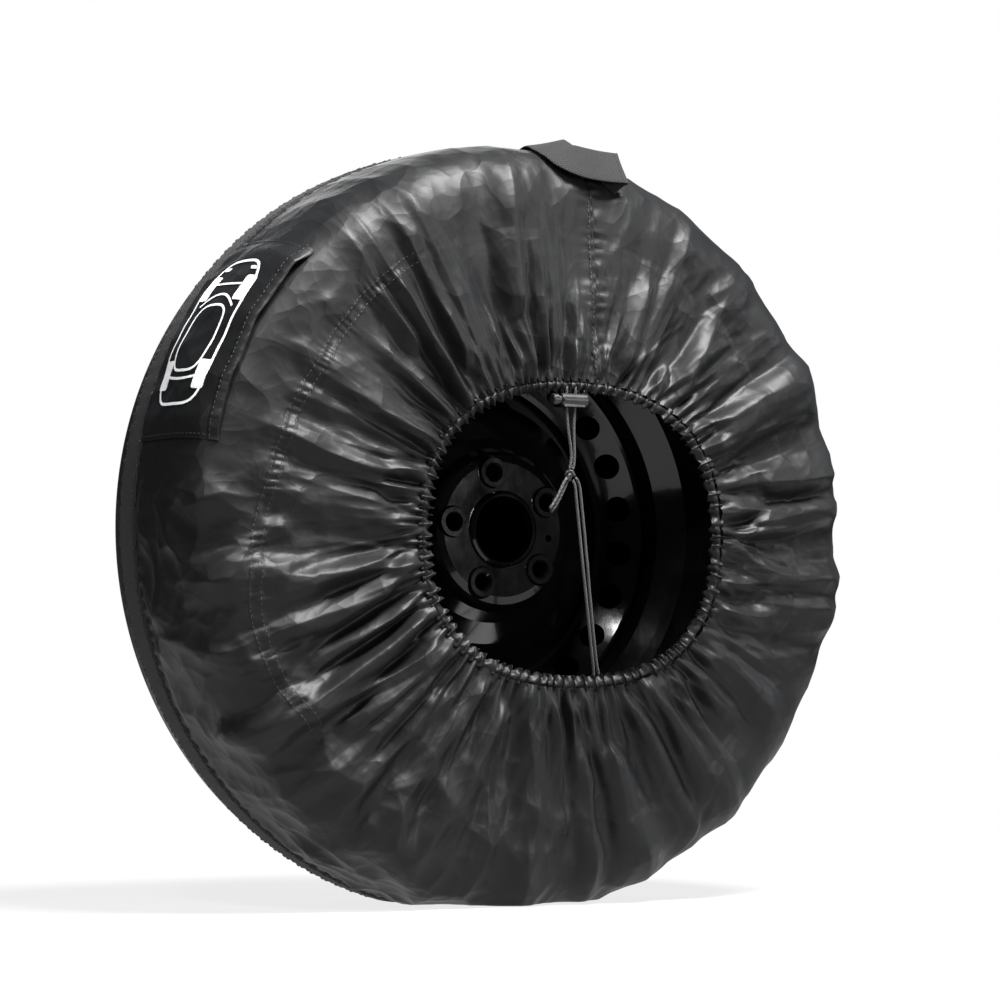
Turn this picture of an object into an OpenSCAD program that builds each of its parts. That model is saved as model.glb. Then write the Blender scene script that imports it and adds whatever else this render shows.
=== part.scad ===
// Wheel cover: a gathered nylon cover drawn over a complete road wheel.
// Millimetres, +Z up, floor at z = 0. The axle runs along Y and the open mouth faces -Y.
// X and Y are zero at the middle of the cover's footprint.

/* [Cover] */
// Radius of the cover over the tread
cover_r = 329; // [326:0.5:334]
// Half of the cover's width at its sidewalls
cover_half_w = 100.5; // [100:0.5:104]
// Thickness of the sewn nylon
cloth = 1.5; // [1:0.1:2]
// Radius of the seam between the front panel and the tread panel
seam_r = 256; // [254:1:264]
// Width of the webbing band around the rear of the tread
band_w = 32; // [25:1:36]
// Height of the axle above the floor
axle_z = 319.5; // [319.4:0.1:321]

/* [Mouth] */
// Width of the mouth inside its gathered hem
mouth_w = 280; // [260:2:284]
// Height of the mouth inside its gathered hem
mouth_h = 240; // [220:2:244]
// Width of the gathered hem
hem_w = 13; // [12:0.5:14]
// Depth of the gathered hem along the axle
hem_d = 11; // [10:0.5:12]
// Diameter of the drawcord
cord_d = 2.4; // [2:0.1:2.6]

/* [Pocket] */
// Angle of the pocket's upper edge, from +X towards +Z
pocket_top = 135; // [130:1:138]
// Angle of the pocket's lower edge
pocket_bottom = 168; // [165:1:170]
// Thickness of the printed position mark
print_t = 0.3; // [0.2:0.1:0.5]

/* [Handle] */
// Width of the carry webbing
strap_w = 30; // [25:1:32]
// Thickness of the carry webbing
strap_t = 2.6; // [2:0.1:3]

/* [Wheel] */
// Outer radius of the tyre
tyre_r = 317.5; // [315:0.5:317.5]
// Half of the tyre's section width
tyre_half_w = 96.5; // [94:0.5:96.5]
// Radius of the hub bore
bore_r = 28.55; // [27:0.05:33]
// Diameter of the circle through the bolt holes
bolt_pcd = 100; // [98:1:108]
// Radius of each bolt hole
bolt_hole_r = 7; // [6:0.25:7.5]
// Number of vent holes in the disc
vents = 24; // [18:1:24]

/* [Hidden] */
$fn = 96;

mid_y = 7;             // middle of the tyre along Y
wall_r = 250;          // radius where the sidewalls are widest
crown = cover_r - wall_r;
shape_n = 3.2;         // fullness of the cover's shoulder
tyre_n = 4;            // fullness of the tyre's shoulder
band_v = 12;           // front edge of the rear band, from the middle of the tyre
cone_slope = 0.1;      // rise of the front panel towards the mouth
mouth_x = 19.5;        // the mouth is drawn to one side of the axle
mouth_z = -7;
mouth_n = 2.4;         // fullness of the mouth's outline
hem_v = -117;          // front of the hem
hub_v = -26;           // outer face of the hub pad
lock_x = 16;           // middle of the cord lock
lock_z = axle_z + mouth_z + mouth_h / 2 - 6.8;
cord_y = mid_y - 112;  // plane in which the drawcord hangs
black = [0.045, 0.045, 0.05];
webbing = [0.09, 0.09, 0.095];

// ---- Helpers ----
function unit(v) = v / norm(v);
function signed_pow(x, p) = sign(x) * pow(abs(x), p);
function curve(a, b, n, t) = [wall_r + b * signed_pow(sin(t), 2 / n), a * signed_pow(cos(t), 2 / n)];
function profile(grow, n, from, to, steps) =
    [for (i = [0:steps]) curve(cover_half_w + grow, crown + grow, n, from + (to - from) * i / steps)];
function angle_at_v(v) = acos(signed_pow(v / cover_half_w, shape_n / 2));
function angle_at_r(r) = 180 - asin(pow((r - wall_r) / crown, shape_n / 2));
function surface_r(v) = wall_r + crown * pow(1 - pow(abs(v) / cover_half_w, shape_n), 1 / shape_n);
function reversed(list) = [for (i = [len(list) - 1:-1:0]) list[i]];
function mouth_outline(grow) = [for (i = [0:71]) let (t = i * 5)
    [mouth_x + (mouth_w / 2 + grow) * signed_pow(cos(t), 2 / mouth_n),
     mouth_z + (mouth_h / 2 + grow) * signed_pow(sin(t), 2 / mouth_n)]];

// A full turn about the axle of a profile given as [radius, distance along the axle]
module turned(points) {
    translate([0, mid_y, axle_z]) rotate([-90, 0, 0]) rotate_extrude($fn = 180) polygon(points);
}
// A shape drawn in X and Z, from v0 to v1 along the axle
module along_axle(v0, v1) {
    translate([0, mid_y + v1, axle_z]) rotate([90, 0, 0]) linear_extrude(v1 - v0) children();
}
module below(z) {
    translate([-400, -200, z - 100]) cube([800, 400, 100]);
}
// Moves a shape to an angle around the axle, with its +X pointing outwards
module at_angle(t) {
    translate([0, mid_y, axle_z]) rotate([0, -t, 0]) children();
}
// A wedge around the axle between two angles, wider than the cover
module wedge(from, to) {
    middle = (from + to) / 2;
    reach = 420;
    at_angle(middle) rotate([90, 0, 0]) translate([0, 0, -150]) linear_extrude(300)
        polygon([[0, 0], [reach, reach * tan((to - from) / 2)], [reach, -reach * tan((to - from) / 2)]]);
}

// ---- Cover ----
// The flat foot under part of the cover, inside a profile and between two places along the axle
module foot(outline, v0, v1) {
    intersection() {
        turned(concat(outline, [[200, v0], [200, v1]]));
        translate([-120, mid_y + v0, 0]) cube([240, v1 - v0, cloth]);
    }
}
module tread_panel() {
    from = angle_at_v(band_v + band_w);
    to = angle_at_r(seam_r);
    outer = profile(0, shape_n, from, to, 28);
    color(black) difference() {
        union() {
            turned(concat(outer, reversed(profile(-cloth, shape_n, from, to, 28))));
            foot(outer, -cover_half_w + 0.2, band_v + band_w);
        }
        below(0);
    }
}
module back_panel() {
    to = angle_at_v(band_v + band_w);
    outer = profile(0, shape_n, 0, to, 20);
    color(black) difference() {
        union() {
            turned(concat([[0, cover_half_w]], outer, reversed(profile(-cloth, shape_n, 0, to, 20)),
                [[0, cover_half_w - cloth]]));
            foot(reversed(outer), band_v + band_w, cover_half_w);
        }
        below(0);
    }
}
module rear_band() {
    rows = 6;
    outer = [for (i = [0:rows]) let (v = band_v + band_w * i / rows) [surface_r(v) + 1.25, v]];
    inner = [for (i = [rows:-1:0]) let (v = band_v + band_w * i / rows) [surface_r(v) + 0.05, v]];
    color(webbing) difference() {
        turned(concat(outer, inner));
        below(0);
    }
}
module front_panel() {
    rim = 0.25;
    front = -cover_half_w + 0.2;
    color(black) difference() {
        turned([[seam_r - rim, front - rim], [100, front - rim - (seam_r - 100) * cone_slope],
            [100, front - rim + cloth - (seam_r - 100) * cone_slope], [seam_r - rim, front - rim + cloth]]);
        along_axle(-130, -90) polygon(mouth_outline(hem_w));
    }
}
module front_seam() {
    color(black) turned([[seam_r - 4, -cover_half_w - 0.7], [seam_r + 4, -cover_half_w - 0.3],
        [seam_r + 4, -cover_half_w - 1.5], [seam_r - 4, -cover_half_w - 1.9]]);
}
module mouth_hem() {
    slot_w = 13.5;
    color(black) difference() {
        along_axle(hem_v, hem_v + hem_d) difference() {
            polygon(mouth_outline(hem_w));
            polygon(mouth_outline(0));
        }
        along_axle(hem_v + 2.5, hem_v + hem_d - 2.5) difference() {
            polygon(mouth_outline(hem_w - 3.5));
            polygon(mouth_outline(3.5));
        }
        translate([lock_x - slot_w / 2, cord_y - 2, lock_z]) cube([slot_w, 4, 14]);
    }
}
module top_seam() {
    color(black) translate([42, mid_y - cover_half_w - 0.5, axle_z + 246]) rotate([-atan(cone_slope), 0, 0])
        translate([0, -1.2, -104]) cube([6, 0.9, 100]);
}

// ---- Pocket ----
module pocket_layer(v0, v1, low, high, from, to) {
    rows = 12;
    outer = [for (i = [0:rows]) let (v = v0 + (v1 - v0) * i / rows) [surface_r(v) + high, v]];
    inner = [for (i = [rows:-1:0]) let (v = v0 + (v1 - v0) * i / rows) [surface_r(v) + low, v]];
    intersection() {
        turned(concat(outer, inner));
        wedge(from, to);
    }
}
module marker_pocket() {
    color(black) pocket_layer(-80, band_v - 0.3, 0.8, 2, pocket_top, pocket_bottom);
}
module pocket_hem() {
    color(black) pocket_layer(-88, -80.2, 0.8, 2.6, pocket_top, pocket_bottom);
}
// A car seen from above, drawn along the cover with its nose up: width along X, length along Y
module rounded_outline(w, h, cy, r, line) {
    translate([0, cy]) difference() {
        translate([-w / 2, -h / 2]) rounded_square(w, h, r);
        translate([-w / 2 + line, -h / 2 + line]) rounded_square(w - 2 * line, h - 2 * line, r - line);
    }
}
module rounded_square(w, h, r) {
    translate([r, 0]) square([w - 2 * r, h]);
    translate([0, r]) square([w, h - 2 * r]);
    for (x = [r, w - r]) for (y = [r, h - r]) translate([x, y]) circle(r, $fn = 32);
}
module car_mark() {
    line = 2.5;
    for (x = [-26.5, 26.5]) for (y = [-43, 40])
        translate([x - 6.75, y - 13]) square([13.5, 26]);
    rounded_outline(66, 138, 0, 16, line);
    rounded_outline(44, 62, -9, 14, line);
    for (y = [-47, 44]) translate([-20, y - line / 2]) square([40, line]);
}
module position_mark() {
    middle = (pocket_top + pocket_bottom) / 2;
    color("white") intersection() {
        pocket_layer(-79, band_v - 2, 2.05, 2.05 + print_t, pocket_top + 2, pocket_bottom - 2);
        at_angle(middle) rotate([0, 90, 0]) rotate([0, 0, 90]) translate([-35, 0, 300])
            linear_extrude(40) car_mark();
    }
}

// ---- Carry handle ----
// A loop of webbing that has flopped to the left over the front shoulder. Each station of the
// webbing is [middle, direction of its width, half of its width], from the axle's height up and
// from the tyre's middle along the axle.
tab_stations = [
    [[54.5, -94.5, 296.5], [0.98, 0, -0.18], 1], [[60, -94, 302], [0.9, -0.15, -0.4], 1],
    [[67, -93, 306.5], [0.6, -0.35, -0.7], 1], [[73, -93, 309], [0.3, -0.45, -0.84], 1],
    [[77, -96, 309.5], [0.19, -0.47, -0.86], 1], [[73, -98.5, 309], [0.15, -0.42, -0.9], 0.8],
    [[68, -99, 308.5], [0.1, -0.4, -0.91], 0.5]];
handle_stations = [
    [[59, -101, 308.6], [0.08, -0.38, -0.92], 0.15], [[50, -100.5, 309.5], [0.05, -0.38, -0.92], 0.4],
    [[40, -98.5, 311], [0, -0.38, -0.92], 0.9], [[30, -95, 314], [-0.08, -0.45, -0.89], 1],
    [[23.5, -90, 318], [-0.25, -0.55, -0.8], 1], [[20, -82, 323.5], [-0.5, -0.6, -0.62], 1],
    [[20, -71, 328.5], [-0.8, -0.4, -0.45], 1], [[24, -59, 331.5], [-0.95, -0.05, -0.25], 1],
    [[30.5, -42, 333], [-0.97, 0.2, -0.08], 1], [[37.5, -24, 333.4], [-0.93, 0.36, 0], 0.9],
    [[43.5, -6, 333], [-0.9, 0.43, 0], 0.65], [[48, 4, 332.6], [-0.88, 0.46, 0], 0.4],
    [[51.5, 12, 332], [-0.88, 0.46, 0], 0.2]];
function station_dir(list, i) =
    unit(list[min(i + 1, len(list) - 1)][0] - list[max(i - 1, 0)][0]);
// The four corners of the webbing at one station
function webbing_corners(list, i) = let (
    w = unit(list[i][1]) * list[i][2] * strap_w / 2,
    n = unit(cross(w, station_dir(list, i))) * strap_t / 2,
    c = list[i][0] + [0, mid_y, axle_z]) [c + w + n, c - w + n, c - w - n, c + w - n];
module webbing_strip(list) {
    count = len(list);
    points = [for (i = [0:count - 1]) each webbing_corners(list, i)];
    walls = [for (i = [0:count - 2]) for (k = [0:3]) let (a = i * 4 + k, b = i * 4 + (k + 1) % 4)
        each [[a, a + 4, b + 4], [a, b + 4, b]]];
    last = 4 * (count - 1);
    ends = [[0, 1, 2], [0, 2, 3], [last + 2, last + 1, last], [last + 3, last + 2, last]];
    polyhedron(points, concat(walls, ends));
}
module handle_tab_front() {
    color(webbing) webbing_strip(tab_stations);
}
module handle_tab_rear() {
    color(webbing) at_angle(81.5) translate([surface_r(band_v) + 1.5, band_v + 1, -strap_w / 2])
        cube([2, 20, strap_w]);
}
module carry_handle() {
    color(webbing) webbing_strip(handle_stations);
}

// ---- Drawcord ----
left_route = [[11.5, cord_y, 437.4], [11.4, cord_y, 428], [11.4, cord_y, 420], [12.3, cord_y, 406],
    [13.6, cord_y, 396], [15, cord_y, 388], [15.9, cord_y, 378], [15, cord_y, 371], [14, cord_y, 366.6]];
right_route = [[20, cord_y, 437.4], [19.8, cord_y, 428], [19.6, cord_y, 420], [18.6, cord_y, 406],
    [18.6, cord_y, 396], [18.8, cord_y, 388], [19, cord_y, 378], [18.4, cord_y, 371], [16.9, cord_y, 366.4]];
loop_route = [[17.6, -104.5, 358.2], [19.2, -104.8, 355], [20, -105, 351],
    [20.6, -105, 345], [21.6, -105, 336],
    [23, -105, 324], [24.6, -105, 310], [26.2, -105, 296], [27.8, -105, 282], [30.2, -104, 268],
    [32.5, -103, 254], [35.2, -101.5, 240], [38, -99.5, 226], [41.4, -97, 212], [44.4, -94.5, 199],
    [45.4, -93, 188], [45.2, -92.5, 181], [46.8, -92.3, 175], [50.6, -92.2, 171.8], [54.4, -92.3, 175],
    [55.8, -92.5, 181], [52.6, -93, 188], [48.6, -94.5, 199], [45, -97, 212], [41.6, -99.5, 226],
    [38.8, -101.5, 240], [36.4, -103, 254], [34.2, -104, 268], [32.4, -105, 282], [30.8, -105, 296],
    [29.4, -105, 310], [27.8, -105, 324], [26.4, -105, 336], [25.4, -105, 345], [24.4, -105, 352],
    [22.2, -105.4, 357.4], [19.7, -105.5, 360.4]];
upper_tail_route = [[10.8, -106.2, 359.8], [8, -106.4, 356.2], [4.4, -106.8, 350], [0.6, -107, 343.4],
    [-3.2, -107, 337.6], [-6.6, -107, 333.6]];
lower_tail_route = [[12.8, -103.9, 358.1], [11, -103.8, 353.6], [7.8, -103.6, 347], [4, -103.6, 340.4],
    [0.2, -103.6, 334.8], [-3.4, -103.6, 331]];

function heading(route, i) = unit(route[min(i + 1, len(route) - 1)] - route[max(i - 1, 0)]);
function side_dir(d) = unit(cross(d, [0, 1, 0.001]));
// One ring of a tube around point i of its route
function ring(route, i, r, sides) = let (d = heading(route, i), a = side_dir(d), b = cross(d, a))
    [for (k = [0:sides - 1]) route[i] + r * (cos(360 * k / sides) * a + sin(360 * k / sides) * b)];
module tube(route, r, sides = 8) {
    count = len(route);
    points = [for (i = [0:count - 1]) each ring(route, i, r, sides)];
    walls = [for (i = [0:count - 2]) for (k = [0:sides - 1])
        let (a = i * sides + k, b = i * sides + (k + 1) % sides, c = b + sides, d = a + sides)
        each [[a, b, c], [a, c, d]]];
    ends = [[for (k = [sides - 1:-1:0]) k], [for (k = [0:sides - 1]) (count - 1) * sides + k]];
    polyhedron(points, concat(walls, ends));
}
module drawcord() {
    color(black) along_axle(-112 - cord_d / 2, -112 + cord_d / 2) difference() {
        polygon(mouth_outline(6.5 + cord_d / 2));
        polygon(mouth_outline(6.5 - cord_d / 2));
    }
}
module cord_left() {
    color(black) tube(left_route, cord_d / 2);
}
module cord_right() {
    color(black) tube(right_route, cord_d / 2);
}
module cord_knot() {
    color(black) translate([15, cord_y, 362]) sphere(3.9, $fn = 48);
}
module pull_loop() {
    color(black) tube(loop_route, cord_d / 2);
}
module cord_tail_upper() {
    color(black) tube(upper_tail_route, cord_d / 2);
}
module cord_tail_lower() {
    color(black) tube(lower_tail_route, cord_d / 2);
}

// ---- Cord lock: a barrel lying across the two cords, with a button on its -X end ----
lock_r = 5.8;
bore_in_lock = 3.6;
plunger_r = 3.5;
plunger_end = lock_x + 8.6;
module across(x0, x1, r0, r1) {
    translate([x0, cord_y, lock_z]) rotate([0, 90, 0]) cylinder(h = x1 - x0, r1 = r0, r2 = r1, $fn = 48);
}
module cord_lock_body() {
    slot_w = 13.4;
    color(black) difference() {
        union() {
            across(lock_x - 9.4, lock_x + 13.6, lock_r, lock_r);
            across(lock_x + 13.6, lock_x + 15.2, lock_r, lock_r - 1.4);
            across(lock_x - 10.8, lock_x - 9.4, lock_r - 0.8, lock_r);
            translate([lock_x - 9.5, cord_y - 4.5, lock_z - lock_r]) cube([20.5, 9, 2]);
        }
        across(lock_x - 11, lock_x + 13.4, bore_in_lock, bore_in_lock);
        translate([lock_x - slot_w / 2, cord_y - 2, lock_z - 8]) cube([slot_w, 4, 16]);
    }
}
module cord_lock_button() {
    slot_from = lock_x - 9.6;
    color(black) difference() {
        union() {
            across(slot_from - 4.8, plunger_end, plunger_r, plunger_r);
            across(lock_x - 18.6, lock_x - 14.4, 5, 5);
            across(lock_x - 19.4, lock_x - 18.6, 4.2, 5);
        }
        translate([slot_from, cord_y - 2, lock_z - 5]) cube([16.4, 4, 10]);
    }
}
module cord_lock_spring() {
    turns = 3;
    wire = 0.35;
    length = 3.4;
    route = [for (i = [0:turns * 10]) [plunger_end + wire + 0.2 + length * i / (turns * 10),
        cord_y + 2.6 * cos(i * 36), lock_z + 2.6 * sin(i * 36)]];
    color("silver") tube(route, wire, 6);
}

// ---- Wheel and tyre ----
module tyre() {
    outer = [for (i = [0:28]) let (t = 180 * i / 28)
        [wall_r + (tyre_r - wall_r) * signed_pow(sin(t), 2 / tyre_n),
         tyre_half_w * signed_pow(cos(t), 2 / tyre_n)]];
    cavity = [for (i = [0:28]) let (t = 180 * i / 28)
        [wall_r + (tyre_r - 13.5 - wall_r) * signed_pow(sin(t), 2 / tyre_n),
         89 * signed_pow(cos(t), 2 / tyre_n)]];
    bead = [[190.6, 60], [190.6, 73], [194, 75.4], [208.6, 76.4], [209.4, 85], [213, 88.6], [220, 92],
        [232, 95.4]];
    bead_in = [[238, 88.2], [225, 84], [212, 74], [200, 62]];
    color([0.05, 0.05, 0.05]) difference() {
        turned(concat(bead, outer, [for (p = reversed(bead)) [p[0], -p[1]]],
            [for (p = reversed(bead_in)) [p[0], -p[1]]], reversed(cavity), bead_in));
        for (v = [-48, -18, 18, 48])
            turned([[tyre_r - 8, v - 3.5], [tyre_r + 5, v - 4.5],
                    [tyre_r + 5, v + 4.5], [tyre_r - 8, v + 3.5]]);
        below(cloth + 0.8);
    }
}
valve_angle = 162;
valve_seat = [178.4, -18];   // middle of the valve hole: [radius, along the axle]
valve_tilt = 41.2;           // slope of the valve towards the mouth
// Moves a shape that stands on +Z so that it stands in the valve hole and points into the dish
module valve_frame() {
    at_angle(valve_angle) translate([valve_seat[0], valve_seat[1], 0]) rotate([0, 0, valve_tilt])
        rotate([0, -90, 0]) children();
}
module rim_barrel() {
    tyre_side = [[206.2, -87], [207.6, -84], [206.4, -80.4], [203, -77.4], [193, -76.2],
        [190, -73.4], [190, -29.5],
        [186, -25], [172.5, -9.5], [172.5, 30], [190, 46], [190, 73.4], [193, 76.2], [203, 77.4],
        [206.4, 80.4], [207.6, 84], [206.2, 87]];
    hub_side = [[204, 85.6], [203.6, 82], [201.5, 80.4], [191.5, 79.2], [187, 75], [187, 47.3],
        [169.5, 31.4], [169.5, -10.6], [181, -23.8], [184, -27.4], [187, -31], [187, -75], [191.5, -79.2],
        [201.5, -80.4], [203.6, -82], [204, -85.6]];
    color([0.02, 0.02, 0.02]) difference() {
        turned(concat(tyre_side, hub_side));
        valve_frame() translate([0, 0, -12]) cylinder(h = 24, r = 5.8, $fn = 48);
    }
}
vent_r = 152;
vent_v = 24;
module wheel_disc() {
    face = [[bore_r, 0], [58, 0], [64.5, 1.6], [67.5, 5], [71, 12], [80, 19.5],
        [98, 31], [115, 45], [126, 56.5],
        [131, 61.4], [135.5, 63.2], [140, 61.8], [164, 37.4], [166.6, 36.2], [168.4, 37], [169.3, 39]];
    back = [[169.3, 52], [166, 52], [166, 41.6], [142.6, 65.2], [136, 67.2], [129, 65], [123, 59.4],
        [112.4, 48.2], [96, 34.4], [77.4, 22.8], [67.6, 14.4], [64, 9.4], [59, 8], [bore_r, 8]];
    color([0.02, 0.02, 0.02]) difference() {
        union() {
            turned([for (p = concat(face, back)) [p[0], p[1] + hub_v]]);
            turned([[bore_r, hub_v + 4], [bore_r, hub_v - 3.4], [bore_r + 2, hub_v - 3.8],
                [bore_r + 4.2, hub_v - 2.4], [bore_r + 5.4, hub_v + 0.5], [bore_r + 5.4, hub_v + 4]]);
            for (i = [0:4]) at_angle(101.5 - 72 * i)
                translate([bolt_pcd / 2, hub_v + 2, 0]) rotate([90, 0, 0])
                cylinder(h = 4.8, r1 = 15, r2 = 12.4, $fn = 48);
        }
        turned([[0, hub_v - 10], [bore_r, hub_v - 10], [bore_r, hub_v + 10], [0, hub_v + 10]]);
        for (i = [0:4]) at_angle(101.5 - 72 * i) translate([bolt_pcd / 2, hub_v + 9, 0]) rotate([90, 0, 0]) {
            cylinder(h = 20, r = bolt_hole_r, $fn = 48);
            translate([0, 0, 9 + 0.4])
                cylinder(h = 5, r1 = bolt_hole_r - 0.5, r2 = bolt_hole_r + 4, $fn = 48);
        }
        at_angle(-8) translate([47, hub_v + 9, 0]) rotate([90, 0, 0]) cylinder(h = 20, r = 3, $fn = 48);
        for (i = [0:vents - 1]) at_angle(-21 - 360 / vents * i) translate([vent_r, vent_v, 0])
            rotate([0, 0, 44.5]) rotate([0, 90, 0]) translate([0, 0, -8])
                cylinder(h = 16, r = 11.5, $fn = 48);
    }
}
module valve_stem() {
    color([0.04, 0.04, 0.04]) valve_frame() rotate_extrude($fn = 48)
        polygon([[0, -9], [8.4, -9], [8.4, -3], [5.7, -1.6], [5.7, 1.6],
            [7.6, 3], [7.2, 8], [5.4, 20], [5.4, 24],
            [3.9, 24], [3.9, 34], [0, 34]]);
}
module valve_cap() {
    flutes = 16;
    color([0.04, 0.04, 0.04]) valve_frame() difference() {
        translate([0, 0, 24.4]) cylinder(h = 12, r = 5.2, $fn = 48);
        translate([0, 0, 24]) cylinder(h = 10.6, r = 4.1, $fn = 48);
        for (i = [0:flutes - 1]) rotate([0, 0, i * 360 / flutes]) translate([5.5, 0, 24])
            cylinder(h = 9, r = 0.6, $fn = 16);
    }
}

tread_panel();
front_panel();
back_panel();
rear_band();
front_seam();
mouth_hem();
top_seam();
marker_pocket();
pocket_hem();
position_mark();
handle_tab_front();
handle_tab_rear();
carry_handle();
drawcord();
cord_left();
cord_right();
cord_knot();
pull_loop();
cord_tail_upper();
cord_tail_lower();
cord_lock_body();
cord_lock_button();
cord_lock_spring();
tyre();
rim_barrel();
wheel_disc();
valve_stem();
valve_cap();
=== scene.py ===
# Looks of the wheel cover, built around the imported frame.
# Lengths inside this script are millimetres from the axle unless a name ends in _m:
# x across the wheel, v along the axle from the tyre's middle (the mouth faces -v), z up.
import math

import bpy
import numpy as np
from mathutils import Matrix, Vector

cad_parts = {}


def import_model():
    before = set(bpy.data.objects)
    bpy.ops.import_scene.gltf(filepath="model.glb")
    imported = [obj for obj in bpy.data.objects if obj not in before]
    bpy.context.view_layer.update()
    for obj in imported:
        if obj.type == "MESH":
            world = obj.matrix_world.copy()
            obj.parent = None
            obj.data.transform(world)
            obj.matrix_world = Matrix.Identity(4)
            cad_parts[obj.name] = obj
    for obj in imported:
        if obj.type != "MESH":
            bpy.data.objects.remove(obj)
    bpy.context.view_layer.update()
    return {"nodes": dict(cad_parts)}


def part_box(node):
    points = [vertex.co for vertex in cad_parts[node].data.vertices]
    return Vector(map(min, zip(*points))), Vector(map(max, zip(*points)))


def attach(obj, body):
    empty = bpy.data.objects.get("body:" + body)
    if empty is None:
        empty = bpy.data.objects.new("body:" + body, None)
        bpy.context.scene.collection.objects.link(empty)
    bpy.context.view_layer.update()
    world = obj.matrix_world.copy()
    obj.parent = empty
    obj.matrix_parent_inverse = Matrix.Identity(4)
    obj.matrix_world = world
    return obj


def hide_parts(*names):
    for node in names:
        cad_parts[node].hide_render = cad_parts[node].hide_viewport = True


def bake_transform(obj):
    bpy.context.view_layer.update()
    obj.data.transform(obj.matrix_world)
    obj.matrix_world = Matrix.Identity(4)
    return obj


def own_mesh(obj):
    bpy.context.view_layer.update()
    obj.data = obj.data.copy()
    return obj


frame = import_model()
nodes = frame["nodes"]
scene = bpy.context.scene

MID_Y = 7.0        # the tyre's middle, along the frame's y
AXLE_Z = 319.5     # the axle above the floor
WALL_R = 250.0     # radius where the flat side turns into the shoulder
CROWN = 79.0       # the shoulder's height over that radius
COVER_R = WALL_R + CROWN
HALF_W = 100.5     # half the cover's width along the axle
SHAPE_N = 3.2      # power of the shoulder's superellipse
BAND_V = 12.0      # front edge of the rear band
BAND_W = 32.0
MOUTH = (19.5, -7.0, 140.0, 120.0, 2.4)    # middle x and z, half width, half height, power
CLOTH_FLOOR = 0.6 - AXLE_Z                 # lowest point of the cloth
WEBBING_W = 30.0
CORD_R_M = 0.0012
PHASE_END = 6.283  # random phases are drawn from 0 to this
PUCKERS = 230      # needle puckers round a seam


# ---- Frame and mesh helpers ----
def world(p):
    """Points as [x, v, z] in millimetres to the frame, in metres."""
    p = np.asarray(p, float)
    return (p + np.array([0.0, MID_Y, AXLE_Z])) * 0.001


def mesh_object(name, verts, faces, uvs=None, smooth=True):
    """A mesh from arrays. uvs holds one pair per vertex."""
    mesh = bpy.data.meshes.new(name)
    mesh.from_pydata([tuple(p) for p in verts], [], [tuple(int(i) for i in f) for f in faces])
    mesh.update()
    if uvs is not None:
        layer = mesh.uv_layers.new(name="UVMap")
        loops = np.zeros(len(mesh.loops), np.int32)
        mesh.loops.foreach_get("vertex_index", loops)
        layer.data.foreach_set("uv", np.asarray(uvs, np.float32)[loops].ravel())
    if smooth:
        mesh.polygons.foreach_set("use_smooth", [True] * len(mesh.polygons))
    ob = bpy.data.objects.new(name, mesh)
    scene.collection.objects.link(ob)
    return ob


def grid_faces(nu, nv, wrap_u=False):
    i, j = np.meshgrid(np.arange(nu if wrap_u else nu - 1), np.arange(nv - 1), indexing="ij")
    a = i * nv + j
    b = ((i + 1) % nu) * nv + j
    return np.stack([a, b, b + 1, a + 1], -1).reshape(-1, 4)


def grid_object(name, points, uvs=None, wrap_u=False):
    """A mesh over a grid of world points, shaped (u, v, 3)."""
    faces = grid_faces(*points.shape[:2], wrap_u)
    return mesh_object(name, points.reshape(-1, 3), faces, None if uvs is None else uvs.reshape(-1, 2))


def unit(a):
    return a / np.maximum(np.linalg.norm(a, axis=-1, keepdims=True), 1e-9)


def run_length(points):
    """Distance along a line of points, from its start to each of them."""
    return np.concatenate([[0], np.cumsum(np.linalg.norm(np.diff(points, axis=0), axis=1))])


def smoothstep(x, lo, hi):
    t = np.clip((x - lo) / (hi - lo), 0, 1)
    return t * t * (3 - 2 * t)


def spline(points, count):
    """Catmull-Rom samples, evenly spaced by arc length, through a list of points."""
    p = np.asarray(points, float)
    p = np.vstack([2 * p[0] - p[1], p, 2 * p[-1] - p[-2]])
    out = []
    for i in range(1, len(p) - 2):
        t = np.linspace(0, 1, 24, endpoint=False)[:, None]
        a, b, c, d = p[i - 1], p[i], p[i + 1], p[i + 2]
        out.append(0.5 * (2 * b + (c - a) * t + (2 * a - 5 * b + 4 * c - d) * t ** 2
                          + (3 * b - a - 3 * c + d) * t ** 3))
    dense = np.vstack(out + [p[-2][None]])
    s = run_length(dense[:, :3])
    want = np.linspace(0, s[-1], count)
    return np.stack([np.interp(want, s, dense[:, k]) for k in range(dense.shape[1])], -1)


# ---- Camera ----
def add_camera():
    data = bpy.data.cameras.new("camera")
    cam = bpy.data.objects.new("camera", data)
    scene.collection.objects.link(cam)
    az, el, dist = math.radians(-31.0), math.radians(-2.7), 2.927
    target = Vector((0.0, -0.019, 0.3195))
    back = Vector((math.sin(az) * math.cos(el), -math.cos(az) * math.cos(el), math.sin(el)))
    cam.location = target + back * dist
    cam.rotation_euler = (-back).to_track_quat("-Z", "Y").to_euler()
    data.lens = 122.4
    data.sensor_width = 36.0
    data.shift_x = -0.0025
    data.shift_y = 0.0296
    data.clip_end = 50
    scene.camera = cam


# ---- Materials ----
def new_material(name):
    """A new material: itself, its tree, its shader, and its object and UV coordinates."""
    mat = bpy.data.materials.new(name)
    mat.use_nodes = True
    tree = mat.node_tree
    coords = tree.nodes.new("ShaderNodeTexCoord").outputs
    return mat, tree, tree.nodes["Principled BSDF"], coords["Object"], coords["UV"]


def link_base(tree, shader, colour, roughness):
    tree.links.new(colour, shader.inputs["Base Color"])
    tree.links.new(roughness, shader.inputs["Roughness"])


def node(tree, kind, **values):
    n = tree.nodes.new(kind)
    for key, value in values.items():
        if key in n.inputs:
            n.inputs[key].default_value = value
        else:
            setattr(n, key, value)
    return n


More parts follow.
